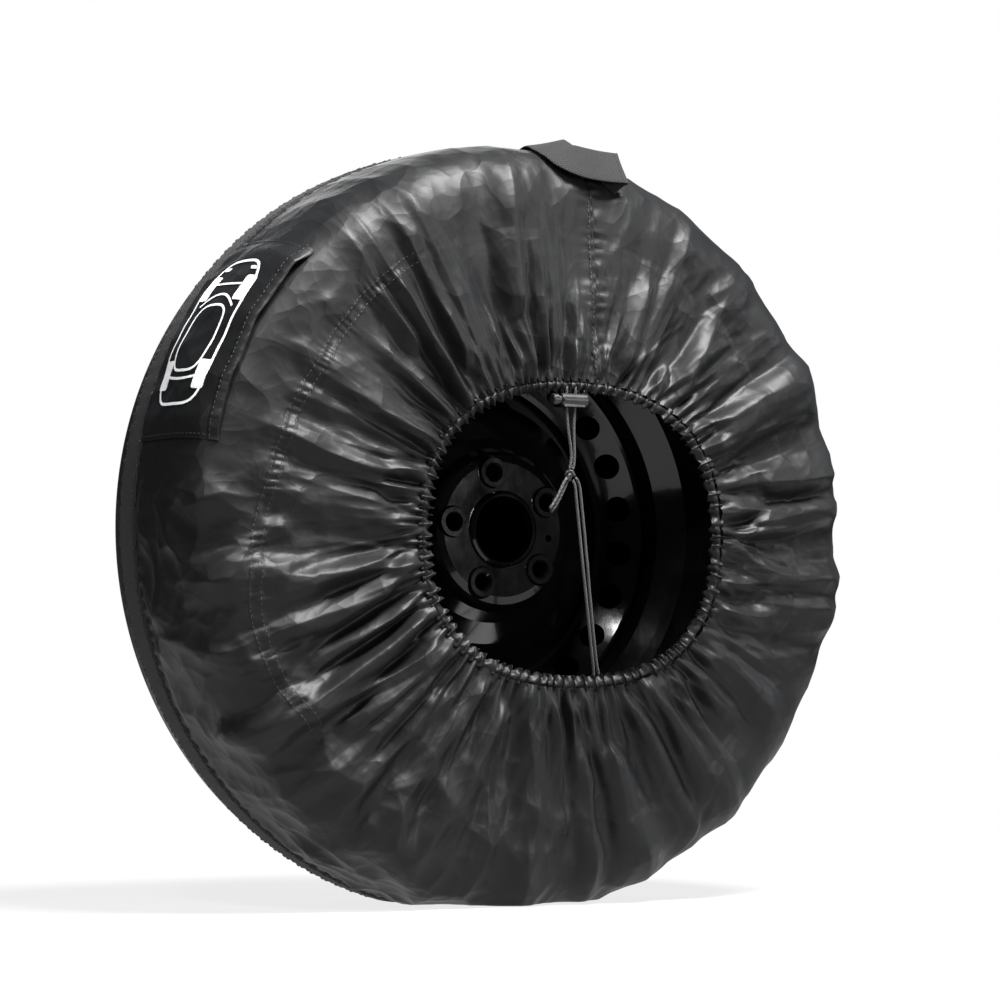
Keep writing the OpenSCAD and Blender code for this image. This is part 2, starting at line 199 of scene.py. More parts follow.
def noise(tree, coords, scale, detail=3.0, roughness=0.55):
    n = node(tree, "ShaderNodeTexNoise", Scale=scale, Detail=detail, Roughness=roughness)
    tree.links.new(coords, n.inputs["Vector"])
    return n.outputs["Fac"]


def ramp(tree, value, lo, hi, lo_pos=0.0, hi_pos=1.0):
    r = node(tree, "ShaderNodeMapRange")
    tree.links.new(value, r.inputs["Value"])
    for key, val in (("From Min", lo_pos), ("From Max", hi_pos), ("To Min", lo), ("To Max", hi)):
        r.inputs[key].default_value = val
    return r.outputs["Result"]


def math_node(tree, operation, a, b=None):
    n = node(tree, "ShaderNodeMath", operation=operation)
    for i, value in enumerate((a, b)):
        if value is None:
            continue
        if isinstance(value, (int, float)):
            n.inputs[i].default_value = value
        else:
            tree.links.new(value, n.inputs[i])
    return n.outputs[0]


def mix_colour(tree, factor, a, b):
    m = tree.nodes.new("ShaderNodeMix")
    m.data_type = "RGBA"
    tree.links.new(factor, m.inputs[0])
    for slot, value in ((6, a), (7, b)):
        if isinstance(value, tuple):
            m.inputs[slot].default_value = (*value, 1.0)
        else:
            tree.links.new(value, m.inputs[slot])
    return m.outputs[2]


def bumps(tree, shader, *layers):
    """Bump layers (height, strength, distance in metres), each on top of the one before."""
    normal = None
    for height, strength, distance in layers:
        b = node(tree, "ShaderNodeBump", Strength=strength, Distance=distance)
        tree.links.new(height, b.inputs["Height"])
        if normal is not None:
            tree.links.new(normal, b.inputs["Normal"])
        normal = b.outputs["Normal"]
    tree.links.new(normal, shader.inputs["Normal"])


def weave(tree, uv, pitch_u, pitch_v):
    """Height of a plain weave whose threads are pitch_u and pitch_v metres apart."""
    split = tree.nodes.new("ShaderNodeSeparateXYZ")
    tree.links.new(uv, split.inputs[0])
    u = math_node(tree, "MULTIPLY", split.outputs[0], math.pi / pitch_u)
    v = math_node(tree, "MULTIPLY", split.outputs[1], math.pi / pitch_v)
    return math_node(tree, "MULTIPLY", math_node(tree, "SINE", u), math_node(tree, "SINE", v))


def facets(tree, coords, scale, spread):
    """Height of small crisp crumples: hollow cells of uneven shape that meet in ridges."""
    warp = node(tree, "ShaderNodeTexNoise", Scale=scale * 0.45, Detail=2.0)
    tree.links.new(coords, warp.inputs["Vector"])
    push = node(tree, "ShaderNodeVectorMath", operation="SCALE")
    tree.links.new(warp.outputs["Color"], push.inputs[0])
    push.inputs["Scale"].default_value = spread
    moved = node(tree, "ShaderNodeVectorMath", operation="ADD")
    tree.links.new(coords, moved.inputs[0])
    tree.links.new(push.outputs[0], moved.inputs[1])
    cells = node(tree, "ShaderNodeTexVoronoi", Scale=scale)
    tree.links.new(moved.outputs[0], cells.inputs["Vector"])
    return math_node(tree, "POWER", cells.outputs["Distance"], 1.7)


def nylon_material():
    mat, tree, shader, ob, uv = new_material("coated_nylon")
    patches = noise(tree, ob, 9.0, 4.0)
    fine = noise(tree, ob, 420.0, 2.0)
    colour = mix_colour(tree, ramp(tree, patches, 0, 1, 0.3, 0.7), (0.0048, 0.0049, 0.0052),
                        (0.0075, 0.0077, 0.0081))
    link_base(tree, shader, colour, ramp(tree, patches, 0.43, 0.51, 0.25, 0.75))
    bumps(tree, shader, (weave(tree, uv, 0.0005, 0.0005), 0.15, 0.00006), (fine, 0.08, 0.0004),
          (facets(tree, ob, 30.0, 0.05), 0.45, 0.0050), (facets(tree, ob, 75.0, 0.02), 0.25, 0.0018))
    shader.inputs["Sheen Weight"].default_value = 0.02
    shader.inputs["Sheen Roughness"].default_value = 0.4
    shader.inputs["Sheen Tint"].default_value = (0.8, 0.85, 0.95, 1.0)
    shader.inputs["Specular IOR Level"].default_value = 0.2
    return mat


def webbing_material():
    mat, tree, shader, ob, uv = new_material("woven_webbing")
    threads = weave(tree, uv, 0.0015, 0.0011)
    fuzz = noise(tree, ob, 900.0, 3.0, 0.7)
    wear = noise(tree, ob, 60.0, 4.0, 0.6)
    # Partly painted shade: the weave's height paints the thread crests lighter and the hollows between them
    # darker; the fuzz noise adds random real tone on top
    weave_shade_and_fuzz_tone = math_node(tree, "ADD", ramp(tree, threads, 0.0, 0.55, -1, 1),
                      math_node(tree, "MULTIPLY", fuzz, 0.5))
    base = mix_colour(tree, weave_shade_and_fuzz_tone, (0.004, 0.004, 0.0043), (0.012, 0.012, 0.0126))
    colour = mix_colour(tree, ramp(tree, wear, 0, 0.5, 0.45, 0.75), base, (0.010, 0.010, 0.0105))
    link_base(tree, shader, colour, ramp(tree, fuzz, 0.7, 0.95))
    bumps(tree, shader, (threads, 0.5, 0.0004), (fuzz, 0.35, 0.0005))
    shader.inputs["Sheen Weight"].default_value = 0.04
    shader.inputs["Sheen Roughness"].default_value = 0.6
    shader.inputs["Specular IOR Level"].default_value = 0.25
    return mat


def print_material():
    mat, tree, shader, ob, uv = new_material("white_print")
    blotch = noise(tree, ob, 260.0, 4.0, 0.65)
    colour = mix_colour(tree, ramp(tree, blotch, 0, 1, 0.35, 0.75), (0.83, 0.83, 0.84), (0.70, 0.70, 0.72))
    link_base(tree, shader, colour, ramp(tree, blotch, 0.5, 0.75))
    bumps(tree, shader, (weave(tree, uv, 0.0011, 0.0011), 0.3, 0.00012), (blotch, 0.3, 0.0004))
    return mat


def cord_material():
    mat, tree, shader, ob, uv = new_material("braided_cord")
    pitch_m, strands = 0.0042, 3
    split = tree.nodes.new("ShaderNodeSeparateXYZ")
    tree.links.new(uv, split.inputs[0])
    lead = math_node(tree, "MULTIPLY", split.outputs[0], 2 * math.pi / pitch_m)
    turn = math_node(tree, "MULTIPLY", split.outputs[1], 2 * math.pi * strands)
    one = math_node(tree, "SINE", math_node(tree, "ADD", lead, turn))
    two = math_node(tree, "SINE", math_node(tree, "SUBTRACT", lead, turn))
    braid = math_node(tree, "MAXIMUM", one, two)
    # Painted shade: the colour follows the braid's height, lighter on the strands' crests and darker in the
    # grooves between them
    colour = mix_colour(tree, ramp(tree, braid, 0, 1, -0.6, 1), (0.006, 0.006, 0.0065), (0.034, 0.034, 0.036))
    link_base(tree, shader, colour, ramp(tree, noise(tree, ob, 600.0), 0.45, 0.7))
    bumps(tree, shader, (braid, 0.7, 0.0003))
    shader.inputs["Sheen Weight"].default_value = 0.1
    return mat


def thread_material():
    mat, tree, shader, ob, _ = new_material("sewing_thread")
    twist = noise(tree, ob, 1500.0, 2.0)
    colour = mix_colour(tree, twist, (0.008, 0.008, 0.009), (0.022, 0.022, 0.024))
    link_base(tree, shader, colour, ramp(tree, twist, 0.5, 0.7))
    bumps(tree, shader, (twist, 0.4, 0.0002))
    return mat


def plastic_material():
    mat, tree, shader, ob, _ = new_material("moulded_plastic")
    grain = noise(tree, ob, 1400.0, 2.0)
    wear = noise(tree, ob, 120.0, 4.0)
    colour = mix_colour(tree, wear, (0.006, 0.006, 0.0065), (0.012, 0.012, 0.013))
    link_base(tree, shader, colour, ramp(tree, wear, 0.24, 0.42, 0.3, 0.7))
    bumps(tree, shader, (grain, 0.25, 0.0002))
    return mat


def black_steel_material():
    mat, tree, shader, ob, _ = new_material("black_enamel")
    peel = noise(tree, ob, 240.0, 2.0, 0.5)
    dust = noise(tree, ob, 30.0, 6.0, 0.7)
    colour = mix_colour(tree, ramp(tree, dust, 0, 1, 0.5, 0.8), (0.0022, 0.0022, 0.0025),
                        (0.006, 0.006, 0.0065))
    link_base(tree, shader, colour, ramp(tree, dust, 0.10, 0.17, 0.35, 0.75))
    bumps(tree, shader, (noise(tree, ob, 22.0, 2.0), 0.22, 0.0014), (peel, 0.06, 0.0004))
    shader.inputs["Coat Weight"].default_value = 0.3
    shader.inputs["Coat Roughness"].default_value = 0.05
    shader.inputs["Specular IOR Level"].default_value = 0.2
    return mat


def rubber_material():
    mat, tree, shader, ob, _ = new_material("tyre_rubber")
    dust = noise(tree, ob, 25.0, 5.0, 0.65)
    colour = mix_colour(tree, dust, (0.012, 0.012, 0.013), (0.036, 0.035, 0.034))
    link_base(tree, shader, colour, ramp(tree, dust, 0.6, 0.85))
    bumps(tree, shader, (noise(tree, ob, 700.0, 3.0), 0.3, 0.0005))
    return mat


def spring_material():
    mat, tree, shader, ob, _ = new_material("spring_wire")
    drawn = noise(tree, ob, 800.0, 3.0)
    colour = mix_colour(tree, drawn, (0.50, 0.50, 0.52), (0.68, 0.68, 0.70))
    link_base(tree, shader, colour, ramp(tree, drawn, 0.25, 0.4))
    bumps(tree, shader, (drawn, 0.2, 0.0001))
    shader.inputs["Metallic"].default_value = 1.0
    return mat


def floor_material():
    mat, tree, shader, ob, _ = new_material("pale_floor")
    tree.links.new(mix_colour(tree, noise(tree, ob, 3.0), (0.115, 0.115, 0.115), (0.125, 0.125, 0.125)),
                   shader.inputs["Base Color"])
    shader.inputs["Roughness"].default_value = 0.9
    shader.inputs["Specular IOR Level"].default_value = 0.0
    shader.inputs["Emission Color"].default_value = (1, 1, 1, 1)
    shader.inputs["Emission Strength"].default_value = 0.8
    return mat


def paint(ob, mat):
    ob.data.materials.clear()
    ob.data.materials.append(mat)


def finish_piece(ob, mat, replaced=None, body="cover"):
    """Paint a piece, and say which body it rides on and which CAD nodes it replaces."""
    paint(ob, mat)
    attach(ob, body)
    if replaced:
        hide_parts(*([replaced] if isinstance(replaced, str) else replaced))


NYLON = nylon_material()
WEBBING = webbing_material()
PRINT = print_material()
CORD = cord_material()
THREAD = thread_material()
PLASTIC = plastic_material()
STEEL = black_steel_material()
RUBBER = rubber_material()
SPRING = spring_material()


# ---- Cords ----
CORD_Y = -105.0
# Routes are in millimetres in the frame, from the hem or the knot outwards
LEFT = [[x, CORD_Y, z] for x, z in (
    (11.5, 437.4), (11.4, 428), (11.4, 420), (12.3, 406), (13.6, 396), (15, 388), (15.9, 378), (15, 371),
    (14, 366.6))]
RIGHT = [[x, CORD_Y, z] for x, z in (
    (20, 437.4), (19.8, 428), (19.6, 420), (18.6, 406), (18.6, 396), (18.8, 388), (19, 378), (18.4, 371),
    (16.9, 366.4))]
LOOP = [[17.6, -104.5, 358.2], [19.2, -104.8, 355], [20, -105, 351], [20.6, -105, 345], [21.6, -105, 336],
        [23, -105, 324], [24.6, -105, 310], [26.2, -105, 296], [27.8, -105, 282], [30.2, -104, 268],
        [32.5, -103, 254], [35.2, -101.5, 240], [38, -99.5, 226], [41.4, -97, 212], [44.4, -94.5, 199],
        [45.4, -93, 188], [45.2, -92.5, 181], [46.8, -92.3, 175], [50.6, -92.2, 171.8], [54.4, -92.3, 175],
        [55.8, -92.5, 181], [52.6, -93, 188], [48.6, -94.5, 199], [45, -97, 212], [41.6, -99.5, 226],
        [38.8, -101.5, 240], [36.4, -103, 254], [34.2, -104, 268], [32.4, -105, 282], [30.8, -105, 296],
        [29.4, -105, 310], [27.8, -105, 324], [26.4, -105, 336], [25.4, -105, 345], [24.4, -105, 352],
        [22.2, -105.4, 357.4], [19.7, -105.5, 360.4]]
UPPER_TAIL = [[10.8, -106.2, 359.8], [8, -106.4, 356.2], [4.4, -106.8, 350], [0.6, -107, 343.4],
              [-3.2, -107, 337.6], [-6.6, -107, 333.6]]
LOWER_TAIL = [[12.8, -103.9, 358.1], [11, -103.8, 353.6], [7.8, -103.6, 347], [4, -103.6, 340.4],
              [0.2, -103.6, 334.8], [-3.4, -103.6, 331]]


def tube_mesh(name, path_m, radius_m, sides=12):
    """A round tube along points in metres. Its UV runs in metres along it, and 0 to 1 around it."""
    path = np.asarray(path_m, float)
    heading = unit(np.gradient(path, axis=0))
    side = unit(np.cross(heading, np.array([0.0, 1.0, 0.01])))
    other = np.cross(heading, side)
    angles = np.linspace(0, 2 * math.pi, sides, endpoint=False)
    ring = side[:, None] * np.cos(angles)[None, :, None] + other[:, None] * np.sin(angles)[None, :, None]
    points = path[:, None] + radius_m * ring
    length = run_length(path)
    uvs = np.stack(np.broadcast_arrays(length[:, None], np.abs(angles / math.pi - 1)[None, :] * 0.5), -1)
    count = len(path)
    i, k = np.meshgrid(np.arange(count - 1), np.arange(sides), indexing="ij")
    a, b = i * sides + k, i * sides + (k + 1) % sides
    faces = np.stack([a, b, b + sides, a + sides], -1).reshape(-1, 4).tolist()
    faces.append(list(range(sides))[::-1])
    faces.append([(count - 1) * sides + q for q in range(sides)])
    return mesh_object(name, points.reshape(-1, 3), faces, uvs.reshape(-1, 2))


def add_lock_spring():
    """The spring inside the cord lock. The button squeezes it against the far end of the lock's body."""
    low, high = (np.array(corner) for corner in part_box("cord_lock_spring"))
    wire, turns, count = 0.00035, 3, 109
    middle = (low + high) / 2
    coil_r = (high[2] - low[2]) / 2 - wire
    turn = np.linspace(0, turns * 2 * math.pi, count)
    path = np.stack([np.linspace(low[0] + wire, high[0] - wire, count), middle[1] + coil_r * np.cos(turn),
                     middle[2] + coil_r * np.sin(turn)], -1)
    ob = tube_mesh("cord_lock_spring_wire", path, wire, 10)
    finish_piece(ob, SPRING, "cord_lock_spring", "cord_lock")
    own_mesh(ob)


def add_cords():
    for name, route, replaced, far in (
        ("cord_left_strand", LEFT, "cord_left", "knot"), ("cord_right_strand", RIGHT, "cord_right", "knot"),
        ("cord_pull_loop", LOOP, "pull_loop", "object"),
        ("cord_tail_upper_end", UPPER_TAIL, "cord_tail_upper", "bare"),
        ("cord_tail_lower_end", LOWER_TAIL, "cord_tail_lower", "bare"),
    ):
        path = spline(route, max(24, len(route) * 4)) * 0.001
        ob = tube_mesh(name, path, CORD_R_M)
        finish_piece(ob, CORD, replaced)
    # The overhand knot: a short cord wound round itself where the two strands meet
    t = np.linspace(0, 2 * math.pi * 1.72, 90)
    knot = np.stack([(2.6 + 1.25 * np.cos(1.5 * t)) * np.cos(t), 2.0 * np.sin(1.5 * t),
                     (2.6 + 1.25 * np.cos(1.5 * t)) * np.sin(t)], -1)
    knot = (knot + np.array([15.0, CORD_Y, 362.0])) * 0.001
    knot_ob = tube_mesh("cord_overhand_knot", knot, CORD_R_M)
    finish_piece(knot_ob, CORD, "cord_knot")


# ---- The cover's own shape ----
COLUMNS = 1440
FRONT_RINGS = 64
TREAD_RINGS = 84
THETA = np.linspace(0, 2 * math.pi, COLUMNS, endpoint=False)
TOP_SEAM_X = 43.5


def signed_pow(x, p):
    return np.sign(x) * np.abs(x) ** p


def surface_r(v):
    return WALL_R + CROWN * np.clip(1 - (np.abs(v) / HALF_W) ** SHAPE_N, 0, 1) ** (1 / SHAPE_N)


def mouth_radius(theta, grow=0.0):
    """Distance from the axle to the mouth's outline at each angle."""
    cx, cz, a, b, n = MOUTH
    lo, hi = np.zeros_like(theta), np.full_like(theta, 260.0)
    for _ in range(40):
        mid = (lo + hi) / 2
        x, z = mid * np.cos(theta) - cx, mid * np.sin(theta) - cz
        inside = (np.abs(x) / (a + grow)) ** n + (np.abs(z) / (b + grow)) ** n < 1
        lo, hi = np.where(inside, mid, lo), np.where(inside, hi, mid)
    return lo


def seam_radius(theta):
    """The front seam sags on the lower left."""
    known = np.array([[0, 256], [45, 252], [90, 250], [118, 255], [136, 254], [147, 249], [160, 258],
                      [171, 260], [187, 280], [199, 290], [214, 281], [235, 264], [270, 255], [320, 256],
                      [360, 256]], float)
    deg = np.degrees(theta) % 360
    soft = [np.interp((deg + d) % 360, known[:, 0], known[:, 1]) for d in (-8, -4, 0, 4, 8)]
    return np.mean(soft, 0)


def cover_rings():
    """The smooth cover as a grid [column, ring, (r, v)] from the hem to the rear band."""
    hem, seam = mouth_radius(THETA, 9.0), seam_radius(THETA)
    t = np.linspace(0, 1, FRONT_RINGS) ** 1.2
    reach = np.maximum(seam - WALL_R, 0.3) / CROWN
    start = np.pi - np.arcsin(reach ** (SHAPE_N / 2))
    start_v = HALF_W * signed_pow(np.cos(start), 2 / SHAPE_N)
    front_r = hem[:, None] + (seam - hem)[:, None] * t[None]
    front_v = start_v[:, None] - (start_v + HALF_W + 12.0)[:, None] * (1 - t[None]) ** 0.9
    end = math.acos((BAND_V / HALF_W) ** (SHAPE_N / 2))
    w = np.linspace(0, 1, TREAD_RINGS + 1)[1:]
    fine = np.linspace(0, 1, 300)
    angle = start[:, None] + (end - start)[:, None] * fine[None]
    r = WALL_R + CROWN * np.abs(np.sin(angle)) ** (2 / SHAPE_N)
    v = HALF_W * signed_pow(np.cos(angle), 2 / SHAPE_N)
    arc = np.cumsum(np.hypot(np.diff(r, axis=1, prepend=r[:, :1]), np.diff(v, axis=1, prepend=v[:, :1])), 1)
    tread = np.zeros((COLUMNS, TREAD_RINGS, 2))
    for i in range(COLUMNS):
        s = arc[i] / arc[i, -1]
        tread[i, :, 0] = np.interp(w, s, r[i])
        tread[i, :, 1] = np.interp(w, s, v[i])
    return np.concatenate([np.stack([front_r, front_v], -1), tread], 1)


def polar(theta, rings):
    """Points [x, v, z] from a grid of (r, v), one column of it at each angle."""
    r, v = rings[..., 0], rings[..., 1]
    return np.stack([r * np.cos(theta)[:, None], v, r * np.sin(theta)[:, None]], -1)


def outward_normals(p):
    """Normals, away from the wheel's middle, of a grid that closes on itself along its first axis."""
    du = np.roll(p, -1, 0) - np.roll(p, 1, 0)
    n = unit(np.cross(du, np.gradient(p, axis=1)))
    return np.where((n * p).sum(-1, keepdims=True) < 0, -n, n)


def ruffle_phase(theta):
    """Phase of the hem's ruffles at each angle: about a hundred, of uneven width."""
    rng = np.random.default_rng(3)
    phase = 92 * theta
    for k in range(2, 40):
        phase = phase + rng.normal(0, 1.3) / k ** 0.6 * np.sin(k * theta + rng.uniform(0, PHASE_END))
    return phase


def ridge(x, sharp):
    """A fold's section: a firm crest with hollow flanks."""
    return np.exp(-np.abs(x) ** sharp) - 0.40 * np.exp(-((np.abs(x) - 1.7) / 0.8) ** 2)


def fold_layer(s, count, seed, height, reach, width, spread, drift, sharp=1.2, even=0.38):
    """Radial folds from the hem. s is the distance from the hem in millimetres at each grid point."""
    rng = np.random.default_rng(seed)
    total = np.zeros_like(s)
    radius = 132.0 + s * 0.85
    places = (np.arange(count) + rng.uniform(-even, even, count)) / count * 2 * math.pi
    for place in places:
        high = height * rng.uniform(0.45, 1.3)
        far = reach * rng.uniform(0.45, 1.5)
        wide = width * rng.uniform(0.6, 1.4)
        skew = rng.uniform(-0.45, 0.45)
        wander = rng.uniform(0, PHASE_END, 2)
        lean, bow = rng.normal(0, drift, 2)
        path = lean * s + bow * s * s / 200.0 + 1.2 * np.sin(s / 37.0 + wander[0]) \
            + 0.4 * np.sin(s / 15.0 + wander[1])
        centre = place + path * np.minimum(s / 40.0, 1) / radius
        away = (THETA[:, None] - centre + math.pi) % (2 * math.pi) - math.pi
        near = np.abs(away).min(1) < 0.35
        across = away[near] * radius[near] / (wide * (1 + spread * s[near] / 100.0))
        across = across / (1 + skew * np.tanh(across * 1.5))
        birth = rng.uniform(0, 0.2) * far
        rise = smoothstep(s[near], birth - 8.0, birth + 14.0)
        swell = 1 + 0.15 * np.sin(s[near] / 24.0 + wander[1])
        total[near] += high * rise * swell * np.exp(-(s[near] / far) ** 2.6) * ridge(across, sharp)
    return total


def crumple(s, seed, across, along_s, aspect, slant):
    """Crisp ridges round hollow facets, as in thin coated cloth. The facets are about across by along_s
    millimetres, each longer than wide by its own aspect and turned by its own slant."""
    rng = np.random.default_rng(seed)
    nearest = np.full_like(s, 9.0)
    radius, depth = 300.0, 330.0    # the facets' pitch circle, and how far from the hem they reach
    girth = 2 * math.pi * radius
    nu, ns = int(girth / across), int(depth / along_s)
    for i in range(nu):
        for j in range(-1, ns + 1):
            u0 = (i + rng.uniform(-0.5, 0.5)) * across
            s0 = (j + rng.uniform(0.0, 1.0)) * along_s
            long, turn = aspect * rng.uniform(0.6, 1.6), rng.normal(0, slant)
            weight = rng.uniform(0.75, 1.35)
            du = ((THETA * radius - u0 + girth / 2) % girth) - girth / 2
            near = np.abs(du) < 2.6 * max(across, along_s)
            a, b = du[near][:, None], s[near] - s0
            c, d = math.cos(turn), math.sin(turn)
            gap = np.hypot((a * c + b * d) * math.sqrt(long), (b * c - a * d) / math.sqrt(long))
            nearest[near] = np.minimum(nearest[near], weight * gap / math.sqrt(across * along_s))
    return np.minimum(nearest, 1.2) ** 1.8 - 0.3


def radial_folds(s):
    """All folds that run out from the hem: long, middle, short, fine creases, and some that start late."""
    return (fold_layer(s, 34, 21, 16.0, 230.0, 7.4, 0.75, 0.10)
            + fold_layer(s, 46, 22, 9.0, 120.0, 5.0, 0.6, 0.10)
            + fold_layer(s, 84, 23, 3.6, 45.0, 3.0, 0.5, 0.08)
            + fold_layer(s, 84, 24, 1.3, 110.0, 2.6, 0.7, 0.2, 1.0, 0.5)
            + fold_layer(s, 44, 25, 2.6, 260.0, 5.0, 0.5, 0.25, 1.0, 0.5) * smoothstep(s, 60, 130))


def crumples(s, seam_s, deg, near_pocket, calm):
    """Crumpled facets, deepest at the lower left, and flat under the pocket and at the band."""
    low_left = smoothstep(deg, 166, 178) * (1 - smoothstep(deg, 262, 300))
    last_s = s.max(1, keepdims=True)
    ends = smoothstep(s, seam_s - 75, seam_s - 15) * (1 - smoothstep(s, last_s - 16, last_s - 2))
    over = (1 - near_pocket * smoothstep(s, seam_s + 20, seam_s + 40)) * ends
    large = over * (3.0 + 9.0 * low_left) * (crumple(s, 31, 50, 62, 2.0, 0.8) + 0.15)
    middle = over * (0.9 + 2.6 * low_left) * crumple(s, 32, 25, 34, 2.2, 0.8)
    # Long narrow facets between the radial folds, then small ones over the front panel
    narrow = 2.6 * crumple(s, 33, 21, 120, 5.0, 0.10) * smoothstep(s, 4, 30) \
        * (1 - smoothstep(s, seam_s - 30, seam_s + 60)) * calm
    small = (1.2 + 0.9 * low_left) * crumple(s, 34, 25, 38, 1.9, 0.7) * smoothstep(s, 14, 50) \
        * (1 - smoothstep(s, seam_s + 25, seam_s + 60)) \
        * (1 - 0.9 * near_pocket * smoothstep(s, seam_s + 18, seam_s + 36))
    return large + middle + narrow + small


def sewn_marks(base, s, seam_s, shown):
    """Grooves and puckers along the front seam and the short top seam."""
    pucker = np.sin(PUCKERS * THETA + 3.0 * np.sin(17 * THETA) + 2.0 * np.sin(41 * THETA))[:, None]
    beside = np.abs(s - seam_s)
    front = (-0.8 * np.exp(-(beside / 2.6) ** 2) + 0.5 * pucker * np.exp(-(beside / 7.0) ** 1.4)) * shown
    across, z = np.abs(base[..., 0] - TOP_SEAM_X), base[..., 2]
    drawn = smoothstep(z, 110, 150) * np.exp(-(across / 10.0) ** 1.5)
    groove = 1.6 * drawn * np.exp(-(across / 3.0) ** 2)
    gather = 0.9 * drawn * np.sin(z * 0.55 + 1.5 * np.sin(z * 0.13)) * np.tanh(across / 3.0)
    return front - groove + gather


def fold_field(base, s, seam_s):
    """Height of the cloth's folds over the smooth cover, in millimetres."""
    rng = np.random.default_rng(11)
    deg = np.degrees(THETA)[:, None]
    ruffle = 1.7 * np.sin(ruffle_phase(THETA)[:, None]) * np.exp(-(s / 13.0) ** 1.5)
    # The pocket holds the cloth under it flat, and the panel beside it is smoother
    near_pocket = smoothstep(deg, 118, 136) * (1 - smoothstep(deg, 168, 180))
    calm = 1 - near_pocket * (0.3 * smoothstep(s, 50, 110) + 0.65 * smoothstep(s, seam_s - 25, seam_s + 38))
    # The tyre's tread stretches the cloth out again
    right = smoothstep(np.cos(THETA), -0.2, 0.6)[:, None]
    tread = 1 - (0.93 - 0.08 * right) * smoothstep(s, seam_s + 14, seam_s + 100)
    slow = sum(rng.normal(0, 0.8) * np.sin(k * THETA + rng.uniform(0, PHASE_END))[:, None]
               * np.cos(s / rng.uniform(26, 60) + rng.uniform(0, PHASE_END)) for k in range(5, 16))
    # Cross creases between the long folds
    crease = sum(rng.normal(0, 0.34) * np.sin(k * THETA[:, None] + s / rng.uniform(9, 22)
                                              + rng.uniform(0, PHASE_END)) for k in range(9, 42, 3))
    folds = (radial_folds(s) + 0.6 * slow + 0.25 * crease) * tread * calm
    folds = folds + crumples(s, seam_s, deg, near_pocket, calm)
    shown = seam_shown()[:, None]
    hold = 1 - 0.15 * shown * np.exp(-(np.abs(s - seam_s) / 9.0) ** 2)
    to_band = s.max(1, keepdims=True) - s
    edge = 0.6 * np.sin(150 * THETA + 2.5 * np.sin(13 * THETA))[:, None] * np.exp(-to_band / 7.0)
    return folds * hold + sewn_marks(base, s, seam_s, shown) + ruffle + edge


def flat_foot(p, lowest):
    """The cloth lies flat on the floor where the tyre stands."""
    q = p.copy()
    over = q[..., 2] - lowest
    q[..., 2] = lowest + np.where(over < 1.5, 1.5 * np.exp(np.minimum(over - 1.5, 0) / 1.5), over)
    return q


def metre_uv(p):
    """UV in metres: around the cover, and along the profile."""
    around = np.linalg.norm(np.roll(p, -1, 0) - p, axis=2).mean(1)
    along = np.linalg.norm(np.diff(p, axis=1), axis=2).mean(0)
    u = np.concatenate([[0], np.cumsum(around[:-1])]) * 0.001
    v = np.concatenate([[0], np.cumsum(along)]) * 0.001
    return np.stack(np.broadcast_arrays(u[:, None], v[None, :]), -1)


def add_cover():
    base = polar(THETA, cover_rings())
    steps = np.linalg.norm(np.diff(base, axis=1), axis=2)
    s = np.concatenate([np.zeros((COLUMNS, 1)), np.cumsum(steps, 1)], 1)
    seam = FRONT_RINGS - 1
    seam_s = s[:, seam:seam + 1]
    normal = outward_normals(base)
    height = fold_field(base, s, seam_s)
    # Keep clear of the tyre's sidewall and tread, and of the sewn band
    depth = 3.0 + 5.5 * (1 - smoothstep(s, seam_s - 75, seam_s - 20))
    height = np.where(height < 0, -depth * np.tanh(-height / depth), 15.0 * np.tanh(height / 15.0))
    shaped = flat_foot(base + height[..., None] * normal, CLOTH_FLOOR)
    uvs = metre_uv(shaped)
    front = grid_object("front_panel_cloth", world(shaped[:, :seam + 1]), uvs[:, :seam + 1], True)
    tread = grid_object("tread_panel_cloth", world(shaped[:, seam:]), uvs[:, seam:], True)
    finish_piece(front, NYLON, "front_panel")
    finish_piece(tread, NYLON, "tread_panel")
    return shaped, seam


HEM_V = -110.2


def add_hem():
    """The gathered casing round the mouth: a flattened tube, ruffled by the cord drawn through it."""
    count, around = 2880, 22
    t = np.linspace(0, 2 * math.pi, count, endpoint=False)
    r = mouth_radius(t, 6.0)
    phase = ruffle_phase(t)
    swell = 1 + 0.18 * np.sin(23 * t + 1.0) + 0.12 * np.sin(57 * t + 2.0)
    a = np.linspace(0, 2 * math.pi, around, endpoint=False)
    crest = np.sin(phase)
    pinch = 0.5 + 0.5 * crest
    across = 6.2 * np.cos(a)[None] * np.ones((count, 1))
    depth = (2.2 + 2.7 * pinch * swell)[:, None] * signed_pow(np.sin(a), 0.8)[None]
    stitched = np.exp(-((across - 3.0) / 1.1) ** 2) + np.exp(-((across + 4.6) / 0.9) ** 2)
    depth = depth * (1 - 0.45 * stitched)
    wave = (2.7 * crest + 0.9 * np.sin(2 * phase + 1.0)) * swell
    weight = 0.55 + 0.45 * np.abs(np.cos(a))[None]
    v = HEM_V + depth + wave[:, None] * weight + 0.6 * np.sin(31 * t)[:, None]
    inner = np.where(np.cos(a) < 0, 1.0, 0.35)[None]
    radius = r[:, None] + across + 1.6 * np.sin(phase + 0.9)[:, None] * inner \
        + 0.7 * np.sin(2.1 * phase)[:, None] * inner
    tangent = 0.9 * np.cos(phase)[:, None] / radius * np.sin(a)[None] * 1.6
    theta = t[:, None] + tangent
    points = np.stack([radius * np.cos(theta), v, radius * np.sin(theta)], -1)
    points = np.concatenate([points, points[:, :1]], 1)
    uv = np.stack(np.broadcast_arrays(t[:, None] * 0.13, np.linspace(0, 0.03, around + 1)[None]), -1)
    ob = grid_object("mouth_hem_casing", world(points), uv, True)
    finish_piece(ob, NYLON, ["mouth_hem", "drawcord"])


